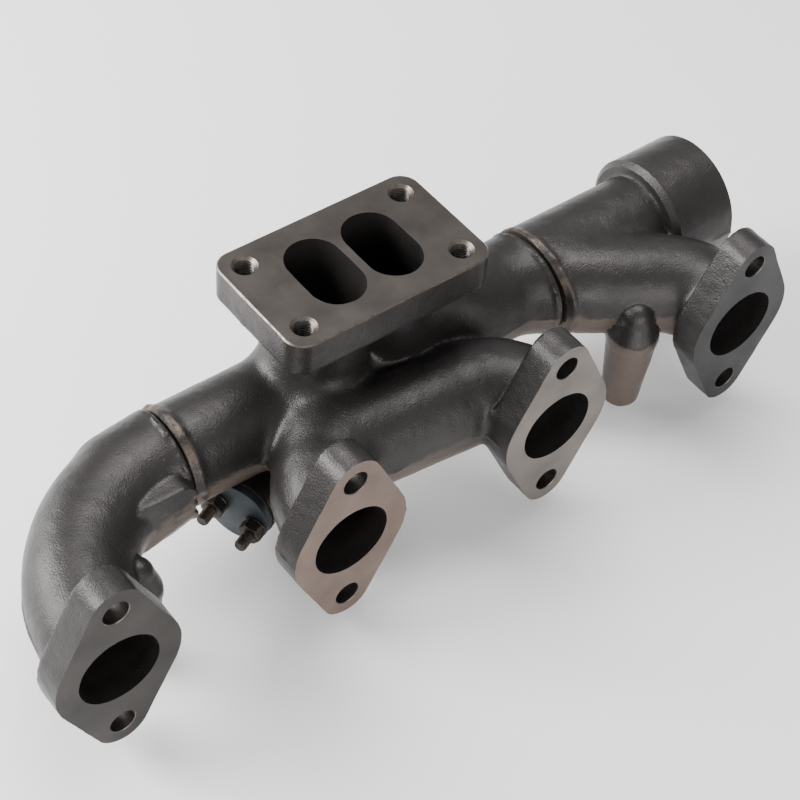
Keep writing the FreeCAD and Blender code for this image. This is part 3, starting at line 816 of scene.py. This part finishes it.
PORT_TINTS = [           # dark and light colour of each port face, and its sheen
    ((0.017, 0.0140, 0.0120), (0.031, 0.026, 0.0230), 0.34),
    ((0.110, 0.074, 0.055), (0.160, 0.111, 0.086), 0.5),
    ((0.105, 0.090, 0.079), (0.160, 0.139, 0.122), 0.5),
    ((0.013, 0.0130, 0.0135), (0.026, 0.0255, 0.0265), 0.34),
]
PORT_FACES = [iron("port_face_" + str(i + 1), low, high, 0.46, 0.35, 22.0, 0.5, 0.012,
                   streak=(0.25, 1.0, 5.0), sheen=sheen)
              for i, (low, high, sheen) in enumerate(PORT_TINTS)]


def finished(tool, material):
    """Gives a cutting tool the finish that it leaves on the metal."""
    tool.data.materials.append(material)
    return tool


# ==================== shapes of the castings ====================

def group(*members):
    """Several (shape, fillet) pairs as one shape."""
    return lambda p: blended(members, p)


def ball(centre, radius):
    return lambda p: np.linalg.norm(p - centre, axis=1) - radius


def post(x, y, dome_z, tip_z, scale):
    """Tapered post hanging from a runner, with a domed top and a rounded tip."""
    base_r = POST_BASE_R * scale
    tip_r = POST_TIP_R * scale
    dome_r = POST_DOME_R * scale
    shoulder_z = dome_z - dome_r - POST_NECK_LENGTH

    def shaft(p):
        radial = np.hypot(p[:, 0] - x, p[:, 1] - y)
        t = np.clip((shoulder_z - p[:, 2]) / (shoulder_z - tip_z), 0.0, 1.0)
        ends = np.abs(p[:, 2] - (shoulder_z + tip_z) / 2) - (shoulder_z - tip_z) / 2 + TEXTURE_ROOM
        return extruded(radial - base_r - t * (tip_r - base_r), ends, POST_TIP_ROUND)

    shoulder = np.array([x, y, shoulder_z])
    dome = np.array([x, y, dome_z - dome_r])
    return group((shaft, 0), (bar(shoulder, dome, base_r, dome_r), 2.0))


def flat_pad(p):
    """Flat-faced pad on the engine side of the elbow; its face leans back below a slanting line."""
    u = np.abs(p[:, 0] - PAD_MIDDLE[0]) - PAD_HALF[0] + PAD_CORNER_R
    v = np.abs(p[:, 2] - PAD_MIDDLE[1]) - PAD_HALF[1] + PAD_CORNER_R
    side = np.hypot(np.maximum(u, 0), np.maximum(v, 0)) + np.minimum(np.maximum(u, v), 0) - PAD_CORNER_R
    break_z = PAD_MIDDLE[1] - 13.9 + 0.33 * (p[:, 0] - PAD_MIDDLE[0] + 11.1)
    face_y = PAD_FACE_Y + 0.45 * np.maximum(break_z - p[:, 2], 0.0)
    return extruded(side, 0.9 * np.maximum(face_y - p[:, 1], p[:, 1] - PAD_BACK_Y), 0.5)


def lip(x, width, height, facing, spread, wander=0.7, crumble=0.45):
    """Raised rough band round the main tube at one station, strongest on one side."""
    facing = facing / np.linalg.norm(facing)

    def relief(p):
        radial = (p - on_log(0.0)) * (Y + Z)
        reach = np.maximum(np.linalg.norm(radial, axis=1), 1e-6)
        side = np.clip((radial @ facing) / reach / spread + 0.55, 0.0, 1.0)
        rough = 0.75 + crumble * noise(p, 3.4, 21)
        place = x + wander * noise(p, 17.0, 22)
        return height * side * rough * np.exp(-((p[:, 0] - place) / width) ** 2)
    return relief


def runner_2(radius, start_y, end_x):
    """Shapes along the port 2 runner, which bends towards the rear."""
    centre_x = PORT_X[1] + PORT_2_BEND_R
    turned_x = centre_x - PORT_2_BEND_R * math.cos(PORT_2_TURN)
    turned_y = PORT_2_LEAD_IN + PORT_2_BEND_R * math.sin(PORT_2_TURN)
    end_y = turned_y + (end_x - turned_x) / math.tan(PORT_2_TURN)
    return (
        (bar(on_slope(PORT_X[1], start_y), on_slope(PORT_X[1], PORT_2_LEAD_IN), radius), 0),
        (bend(centre_x, PORT_2_LEAD_IN, PORT_2_BEND_R, math.pi - PORT_2_TURN, math.pi, radius), 1.0),
        (bar(on_slope(turned_x, turned_y), on_slope(end_x, end_y), radius), 1.0),
    )


def runner_3(radius, start_y):
    """Shapes along the port 3 runner, which turns towards the front and runs to runner 2."""
    centre_x = PORT_X[2] - PORT_3_BEND_R
    turned_x = centre_x + PORT_3_BEND_R * math.cos(PORT_3_TURN)
    turned_y = PORT_3_LEAD_IN + PORT_3_BEND_R * math.sin(PORT_3_TURN)
    end_y = turned_y + (turned_x - PORT_3_END_X) / math.tan(PORT_3_TURN)
    return (
        (bar(on_slope(PORT_X[2], start_y), on_slope(PORT_X[2], PORT_3_LEAD_IN), radius), 0),
        (bend(centre_x, PORT_3_LEAD_IN, PORT_3_BEND_R, 0.0, PORT_3_TURN, radius), 1.0),
        (bar(on_slope(turned_x, turned_y), on_slope(PORT_3_END_X, end_y), radius), 1.0),
    )


def centre_skin():
    skin = Skin((-116, -2.5, -55), (120, 114, 75.5))
    skin.add(disc(on_log(FRONT_SHOULDER_X - 16), on_log(REAR_SHOULDER_X + 15), TUBE_R), 0)
    outer_half = (SCROLL_HALF_WIDTH + WALL, SCROLL_HALF_LENGTH + WALL)
    skin.add(group(*[
        (duct((TURBO_X + side * SCROLL_OFFSET_X, NECK_TOP_Z, *outer_half),
              (TURBO_X + side * NECK_FOOT[0], *NECK_FOOT[1:])), 2.0) for side in (-1, 1)
    ]), 7.0)
    skin.add(bar(*FRONT_HAUNCH, HAUNCH_R), 7.0)
    skin.add(bar(*REAR_HAUNCH, HAUNCH_R), 8.0)
    skin.add(ball(on_slope(*PORT_4_POLES[-1]), TUBE_R), 8.0)
    skin.add(group(*runner_2(TUBE_R, 0.0, PORT_2_OUTSIDE_END_X)), 9.0)
    skin.add(port_plate(PORT_X[1], PORT_STOCK), 4.0)
    skin.add(group(*runner_3(TUBE_R, 0.0), (port_plate(PORT_X[2], PORT_STOCK), 4.0)), 4.0)
    plate_half = (TURBO_T + STOCK) / 2
    skin.add(rounded_box(np.array([TURBO_X, LOG_Y, TURBO_TOP_Z + STOCK - plate_half]),
                         np.array([TURBO_HALF_X - TEXTURE_ROOM, TURBO_HALF_Y - TEXTURE_ROOM, plate_half]),
                         TURBO_CORNER_R, 1.0), 4.0)
    seat = cover_point(3.0)
    end = cover_point(5.0 + BOSS_LENGTH)
    skin.add(group((disc(seat, end, BOSS_R - 0.1, 1.0), 0), (ball(end, BOSS_R), 2.0)), 2.5)

    front_end = on_log(TURBO_X - SCROLL_LOG_OFFSET_X)
    rear_end = on_log(TURBO_X + SCROLL_LOG_OFFSET_X)
    narrow = JOINT_GAS_R - 1.0
    skin.hollow(bar(on_log(FRONT_SHOULDER_X + NARROWING), front_end, GAS_R), 0)
    skin.hollow(bar(rear_end, on_log(REAR_SHOULDER_X - NARROWING), GAS_R), 0.5)
    skin.hollow(disc(on_log(FRONT_SHOULDER_X - 25), on_log(FRONT_SHOULDER_X + NARROWING), narrow), 4.0)
    skin.hollow(disc(on_log(REAR_SHOULDER_X + 25), on_log(REAR_SHOULDER_X - NARROWING), narrow), 4.0)
    skin.hollow(group(*runner_2(GAS_R, PAST_FACE, PORT_2_GAS_END_X)), 5.0)
    skin.hollow(group(*runner_3(GAS_R, PAST_FACE)), 4.0)
    for side in (-1, 1):
        top = (TURBO_X + side * SCROLL_OFFSET_X, SCROLL_TOP_Z, SCROLL_HALF_WIDTH, SCROLL_HALF_LENGTH)
        foot = (TURBO_X + side * SCROLL_FOOT[0], *SCROLL_FOOT[1:])
        skin.hollow(duct(top, foot), 2.5)
    skin.relief.append(lip(FRONT_SHOULDER_X + 3.0, 2.1, 1.7, np.array([0.0, -0.45, 1.0]), 0.4, 1.4))
    skin.relief.append(lip(REAR_SHOULDER_X - 2.2, 1.2, 1.1, np.array([0.0, -0.5, 0.9]), 0.7, 0.9))
    return skin


def front_skin():
    mouth_x = FRONT_SHOULDER_X - FRONT_GAP
    skin = Skin((-204, -2.5, -62), (-96, 106, 54))
    centre_x = PORT_X[0] + ELBOW_BEND_R
    skin.add(bend(centre_x, LEAD_IN / math.cos(SLOPE), ELBOW_BEND_R, math.pi / 2, math.pi, TUBE_R), 0)
    skin.add(bar(on_slope(PORT_X[0], 0), on_slope(PORT_X[0], LEAD_IN), TUBE_R), 2.0)
    skin.add(disc(on_log(centre_x - 2), on_log(mouth_x + 3), TUBE_R), 2.0)
    skin.add(bar(on_log(mouth_x - 21), on_log(mouth_x + 3), TUBE_R - 1.0, SHOULDER_R - 0.3), 2.0)
    skin.add(port_plate(PORT_X[0], PORT_STOCK), 4.0)
    skin.add(flat_pad, 0.5)
    skin.add(post(*FRONT_POST), 1.0)
    skin.hollow(bend(centre_x, LEAD_IN / math.cos(SLOPE), ELBOW_BEND_R, math.pi / 2, math.pi, GAS_R), 0)
    skin.hollow(bar(on_slope(PORT_X[0], PAST_FACE), on_slope(PORT_X[0], LEAD_IN), GAS_R), 1.0)
    skin.hollow(bar(on_log(centre_x), on_log(mouth_x + 30), GAS_R), 1.0)
    skin.relief.append(lip(mouth_x - 1.4, 1.3, 1.3, np.array([0.0, -1.0, 0.5]), 0.8, 0.5, 1.0))
    return skin


def rear_skin():
    mouth_x = REAR_SHOULDER_X + REAR_GAP
    skin = Skin((99, -2.5, -62), (215, 112, 54))
    skin.add(disc(on_log(mouth_x - 5), on_log(COLLAR_START_X + 8), REAR_TUBE_R), 0)
    poles = [on_slope(x, y) for x, y in PORT_4_POLES]
    skin.add(group((bar(on_slope(PORT_X[3], 0), poles[0], TUBE_R), 0),
                   (chain(bezier(poles, CURVE_POINTS), TUBE_R), 1.0),
                   (port_plate(PORT_X[3], PORT_STOCK), 4.0)), 6.0)
    collar_ends = (on_log(COLLAR_START_X + 0.1), on_log(COLLAR_END_X + STOCK))
    skin.add(disc(*collar_ends, COLLAR_R - TEXTURE_ROOM, 0.4), 1.5)
    skin.add(post(*REAR_POST), 1.0)
    gas = [on_slope(x, y) for x, y in PORT_4_GAS_POLES]
    skin.hollow(bar(on_log(mouth_x - 30), on_log(COLLAR_END_X + 20), GAS_R), 0)
    skin.hollow(group((bar(on_slope(PORT_X[3], PAST_FACE), gas[0], GAS_R), 0),
                      (chain(bezier(gas, CURVE_POINTS), GAS_R), 1.0)), 5.0)
    skin.relief.append(lip(mouth_x + 2.0, 1.7, 1.5, np.array([0.0, -0.7, 0.7]), 0.6, 1.2))
    return skin


# ==================== machining ====================

TRIM_R = 36.0            # joint cuts reach out past the tube


def cover_point(depth, along=0.0):
    """Point behind the cover's outer face (depth) and along its stud line."""
    level = np.array([-COVER_OUT[1], COVER_OUT[0], 0.0])
    stud_line = level * math.cos(COVER_TILT) - Z * math.sin(COVER_TILT)
    return COVER_CENTRE - COVER_OUT * depth + stud_line * along


def port_tools(index):
    """Facing cut, bolt holes and the light chamfer round each bolt hole's mouth."""
    x = PORT_X[index]
    tools = [finished(block((x - 45, -40, -62), (x + 45, 0, 62)), PORT_FACES[index])]
    for z in (-BOLT_Z, BOLT_Z):
        mouth = np.array([x, 0.0, z])
        tools.append(finished(drill(mouth - 3.0 * Y, mouth + Y * (FLANGE_T + 6.0), BOLT_HOLE_R), BORE))
        tools.append(finished(countersink(mouth, Y, BOLT_HOLE_R, BOLT_HOLE_R + BOLT_CHAMFER), EDGE))
    return tools


def spigot_tool(shoulder_x, towards):
    """Turns the joint end down to the spigot, its ring grooves and its chamfered tip."""
    tip = SPIGOT_LENGTH
    profile = [(tip, 0.4), (tip, SPIGOT_R - SPIGOT_CHAMFER), (tip - SPIGOT_CHAMFER, SPIGOT_R)]
    for offset in reversed(RING_OFFSETS):
        far = offset + GROOVE_WIDTH / 2
        near = offset - GROOVE_WIDTH / 2
        profile += [(far, SPIGOT_R), (far, GROOVE_R), (near, GROOVE_R), (near, SPIGOT_R)]
    profile += [(0.0, SPIGOT_R), (0.0, TRIM_R), (tip + 6, TRIM_R), (tip + 6, 0.4)]
    return finished(turned("tool", on_log(shoulder_x), X * towards, profile), TURNED)


def spigot_bore(shoulder_x, towards):
    start = on_log(shoulder_x - towards * 5.0)
    end = on_log(shoulder_x + towards * (SPIGOT_LENGTH + 4.0))
    return finished(drill(start, end, JOINT_GAS_R, 128), BORE)


def socket_tools(shoulder_x, mouth_x, towards):
    """Trims the mouth and bores the socket; towards points away from the centre casting."""
    end = on_log(shoulder_x + towards * (SPIGOT_LENGTH + SOCKET_END_CLEARANCE))
    start = on_log(mouth_x - towards * 8.0)
    washer = [(0.0, 0.4), (0.0, TRIM_R), (12.0, TRIM_R), (12.0, 0.4)]
    trim = turned("tool", on_log(mouth_x), -X * towards, washer)
    mouth = countersink(on_log(mouth_x), X * towards, SOCKET_R, SOCKET_R + 0.5)
    return [finished(trim, EDGE), finished(drill(start, end, SOCKET_R, 128), BORE), finished(mouth, EDGE)]


def turbo_tools():
    """Top facing cut, its chamfer and the four tapped holes."""
    facing_cut = block((-70, 30, TURBO_TOP_Z), (70, 130, 90))
    tools = [finished(facing_cut, TOP_FACE), finished(edge_chamfer_tool(), EDGE)]
    for x in (TURBO_X - STUD_SPACING_X / 2, TURBO_X + STUD_SPACING_X / 2):
        for y in (LOG_Y - STUD_SPACING_Y / 2, LOG_Y + STUD_SPACING_Y / 2):
            top = np.array([x, y, TURBO_TOP_Z])
            rod_end = top - Z * (TURBO_T + 4)
            tools.append(finished(
                threaded_rod("tool", top + Z * 2, rod_end, TAP_R, TAP_MAJOR_R, TAP_PITCH), THREAD))
            tools.append(finished(countersink(top, -Z, TAP_R, TAP_MOUTH_R), EDGE))
    return tools


def cover_tools():
    """Spot face of the cover's seat, the passage behind it and the two stud holes."""
    seat = cover_point(COVER_T + GASKET_T)
    passage_end = cover_point(COVER_T + GASKET_T + BOSS_LENGTH)
    tools = [finished(drill(cover_point(-6.0), seat, BOSS_R + 0.8), BORE)]
    tools.append(finished(drill(cover_point(0.0), passage_end, DRAIN_R), BORE))
    for along in STUD_SIDES:
        end = cover_point(COVER_T + GASKET_T + STUD_EMBED + 1.0, along)
        tools.append(finished(drill(cover_point(0.0, along), end, STUD_R + 0.1, 48), BORE))
    return tools


def collar_tools():
    """Faced end and bore of the open collar, and the chamfer of its shoulder."""
    end = on_log(COLLAR_END_X)
    face = finished(drill(end, end + X * 6, COLLAR_R + 6, 128), TURNED)
    bore = finished(drill(end - X * COLLAR_DEPTH, end + X * 3, COLLAR_BORE_R, 128), TURNED)
    mouth = finished(countersink(end, -X, COLLAR_BORE_R, COLLAR_BORE_R + COLLAR_MOUTH), TURNED)
    outer = COLLAR_R + 2.0
    section = [(-1.0, COLLAR_R - COLLAR_CHAMFER - 1.0), (-1.0, outer),
               (outer - COLLAR_R + COLLAR_CHAMFER, outer)]
    shoulder = finished(ring_solid(on_log(COLLAR_START_X), X, section), CAST)
    return [face, bore, mouth, shoulder]


# ==================== assembling the pieces ====================

def keep_inside(piece, node):
    """Holds the piece's points within its CAD node's box."""
    low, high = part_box(node)
    for vertex in piece.data.vertices:
        for i in range(3):
            vertex.co[i] = min(max(vertex.co[i], low[i]), high[i])


def cut_casting(name, node, skin, step, tools):
    """Raw skin with its machining done, as the visible piece of a casting's node."""
    piece = skin_object(name, skin, step)
    piece.data.materials.append(CAST)
    cut(piece, tools)
    keep_inside(piece, node)
    finish_piece(piece, node, 40.0)


BODY_OF = {
    node: body for body, nodes in frame["record"]["behaviour"]["bodies"].items() for node in nodes
}


def finish_piece(piece, node, sharp_degrees):
    """Shading, and the piece's place in the frame."""
    piece.data.shade_smooth()
    piece.data.set_sharp_from_angle(angle=math.radians(sharp_degrees))
    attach(piece, BODY_OF[node])
    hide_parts(node)


STEP = 1.25

centre_tools = [spigot_tool(FRONT_SHOULDER_X, -1), spigot_tool(REAR_SHOULDER_X, 1),
                spigot_bore(FRONT_SHOULDER_X, -1), spigot_bore(REAR_SHOULDER_X, 1)]
centre_tools += port_tools(1) + port_tools(2) + turbo_tools() + cover_tools()
cut_casting("centre_casting_skin", "centre_casting", centre_skin(), STEP, centre_tools)

front_tools = socket_tools(FRONT_SHOULDER_X, FRONT_SHOULDER_X - FRONT_GAP, -1) + port_tools(0)
cut_casting("front_casting_skin", "front_casting", front_skin(), STEP, front_tools)

rear_tools = socket_tools(REAR_SHOULDER_X, REAR_SHOULDER_X + REAR_GAP, 1) + port_tools(3) + collar_tools()
cut_casting("rear_casting_skin", "rear_casting", rear_skin(), STEP, rear_tools)

# ---------- seal rings and gasket keep their CAD shapes ----------

RING = iron("ring_turned", (0.13, 0.12, 0.115), (0.22, 0.20, 0.19), 0.30, 0.85, 6.0, 0.35, 0.015,
            streak=(7.0, 1.0, 1.0))
GASKET = iron("gasket_fibre", (0.05, 0.045, 0.04), (0.10, 0.09, 0.08), 0.75, 0.0, 3.0, 0.4, 0.05)
COVER = iron("cover_blued", (0.026, 0.034, 0.039), (0.042, 0.051, 0.058), 0.42, 0.5, 9.0, 0.5, 0.02)
FASTENER = iron("fastener_dark", (0.016, 0.013, 0.011), (0.070, 0.055, 0.044), 0.42, 0.7, 2.0, 0.3, 0.02)

for end in ("front", "rear"):
    for letter in ("a", "b"):
        ring = frame["nodes"]["seal_ring_" + end + "_" + letter]
        ring.data.materials.clear()
        ring.data.materials.append(RING)
frame["nodes"]["cover_gasket"].data.materials.clear()
frame["nodes"]["cover_gasket"].data.materials.append(GASKET)

# ---------- blanking cover set ----------

cover = turned("cover_plate", COVER_CENTRE, -COVER_OUT,
               [(0.0, 0.5), (0.0, COVER_R - 0.7), (0.25, COVER_R - 0.2), (0.7, COVER_R),
                (COVER_T - 0.5, COVER_R), (COVER_T, COVER_R - 0.5), (COVER_T, 0.5)])
cover.data.materials.append(COVER)
cut(cover, [finished(drill(cover_point(-2, s), cover_point(COVER_T + 2, s), CLEAR_HOLE_R, 48), COVER)
            for s in STUD_SIDES])
finish_piece(cover, "blanking_cover", 35.0)


def nut(name, seat, turn):
    """Hexagon nut with a chamfer round its outer end and a threaded hole."""
    corner_r = NUT_HALF_FLATS * 2 / math.sqrt(3)
    low = seat + corner_r * circle(COVER_OUT, 6, turn)
    points = np.concatenate([low, low + COVER_OUT * NUT_T])
    piece = mesh_object(name, points, band(0, 1, 6) + end_caps(1, 6))
    piece.data.materials.append(FASTENER)
    flat = NUT_HALF_FLATS - 0.1
    rise = (corner_r + 1.0 - flat) * 0.55
    ring = [(NUT_T - rise, corner_r + 1.0), (NUT_T + 3, corner_r + 3), (NUT_T + 3, flat), (NUT_T, flat)]
    tools = [finished(ring_solid(seat, COVER_OUT, ring), FASTENER)]
    tools.append(finished(threaded_rod("tool", seat - COVER_OUT, seat + COVER_OUT * (NUT_T + 1),
                                       STUD_R - 0.35, STUD_R + 0.1, STUD_PITCH, 32), FASTENER))
    cut(piece, tools)
    return piece


def joined(name, pieces):
    """Several meshes as one piece."""
    points = []
    faces = []
    base = 0
    for piece in pieces:
        points += [v.co.copy() for v in piece.data.vertices]
        faces += [[base + i for i in p.vertices] for p in piece.data.polygons]
        base = len(points)
    mesh = bpy.data.meshes.new(name)
    mesh.from_pydata(points, [], faces)
    mesh.materials.append(pieces[0].data.materials[0])
    for piece in pieces:
        bpy.data.objects.remove(piece)
    made = bpy.data.objects.new(name, mesh)
    bpy.context.scene.collection.objects.link(made)
    return made


studs = []
for s in STUD_SIDES:
    outer = cover_point(-STUD_PROUD, s)
    inner = cover_point(COVER_T + GASKET_T + STUD_EMBED, s)
    stud = threaded_rod("stud", inner, outer, STUD_R - 0.55, STUD_R, STUD_PITCH, 36, STUD_LEAD)
    studs.append(finished(stud, FASTENER))
finish_piece(joined("cover_stud_pair", studs), "cover_studs", 50.0)

NUT_TURNS = (0.3, 0.9)   # the nuts stopped at different angles when tightened
nuts = [nut("nut", cover_point(-WASHER_T, s), turn) for s, turn in zip(STUD_SIDES, NUT_TURNS)]
finish_piece(joined("cover_nut_pair", nuts), "cover_nuts", 30.0)

WASHER_SECTION = [(0.0, CLEAR_HOLE_R), (0.0, WASHER_R), (WASHER_T - 0.3, WASHER_R),
                  (WASHER_T, WASHER_R - 0.3), (WASHER_T, CLEAR_HOLE_R)]
washers = [finished(ring_solid(cover_point(0, s), COVER_OUT, WASHER_SECTION), FASTENER) for s in STUD_SIDES]
finish_piece(joined("cover_washer_pair", washers), "cover_washers", 35.0)

# ==================== floor, light, camera ====================

FLOOR_HALF = 30.0        # metres
FLOOR_GAP = 0.0005
WHITE = (1.0, 1.0, 1.0, 1.0)

floor_z = cad_box[0][2] - FLOOR_GAP
corners = [(x, y, floor_z) for x, y in ((-1, -1), (1, -1), (1, 1), (-1, 1))]
floor_mesh = bpy.data.meshes.new("studio_floor")
floor_mesh.from_pydata([(FLOOR_HALF * x, FLOOR_HALF * y, z) for x, y, z in corners], [], [(0, 1, 2, 3)])
floor = bpy.data.objects.new("studio_floor", floor_mesh)
bpy.context.scene.collection.objects.link(floor)
floor_material = bpy.data.materials.new("studio_floor")
floor_material.use_nodes = True
floor_shader = floor_material.node_tree.nodes["Principled BSDF"]
floor_shader.inputs["Base Color"].default_value = (0.95, 0.95, 0.95, 1.0)
floor_shader.inputs["Roughness"].default_value = 0.9
floor_mesh.materials.append(floor_material)

world = bpy.data.worlds.new("studio")
bpy.context.scene.world = world
world.use_nodes = True
background = world.node_tree.nodes["Background"]
background.inputs["Color"].default_value = WHITE
background.inputs["Strength"].default_value = 0.6


def softbox(name, place, target, size, power):
    """Area lamp aimed at a point."""
    lamp = bpy.data.lights.new(name, "AREA")
    lamp.shape = "RECTANGLE"
    lamp.size, lamp.size_y = size
    lamp.energy = power
    holder = bpy.data.objects.new(name, lamp)
    bpy.context.scene.collection.objects.link(holder)
    holder.location = place
    holder.rotation_mode = "QUATERNION"
    holder.rotation_quaternion = (Vector(place) - Vector(target)).to_track_quat("Z", "Y")


PART_MIDDLE = (0.0, 0.05, 0.0)
softbox("key_light", (-0.90, 0.62, 0.72), PART_MIDDLE, (0.6, 0.6), 25.0)
softbox("rim_light", (-0.75, 1.05, 0.35), (-0.05, 0.05, 0.0), (0.7, 0.5), 14.0)
softbox("top_light", (0.30, 0.35, 1.3), PART_MIDDLE, (1.0, 0.5), 16.0)
softbox("front_light", (-0.25, -1.1, 0.40), PART_MIDDLE, (0.9, 0.5), 8.0)

camera_data = bpy.data.cameras.new("camera")
camera_data.lens = 89.75
camera_data.sensor_width = 36.0
camera = bpy.data.objects.new("camera", camera_data)
bpy.context.scene.collection.objects.link(camera)
CAMERA_RIGHT = (0.7909, -0.6081, 0.0678)
CAMERA_UP = (0.4156, 0.6152, 0.6700)
CAMERA_BACK = (-0.4491, -0.5017, 0.7393)
CAMERA_PLACE = (-0.39614, -0.39995, 0.66604)
camera_axes = zip(CAMERA_RIGHT, CAMERA_UP, CAMERA_BACK, CAMERA_PLACE)
camera.matrix_world = Matrix((*camera_axes, (0.0, 0.0, 0.0, 1.0)))
bpy.context.scene.camera = camera
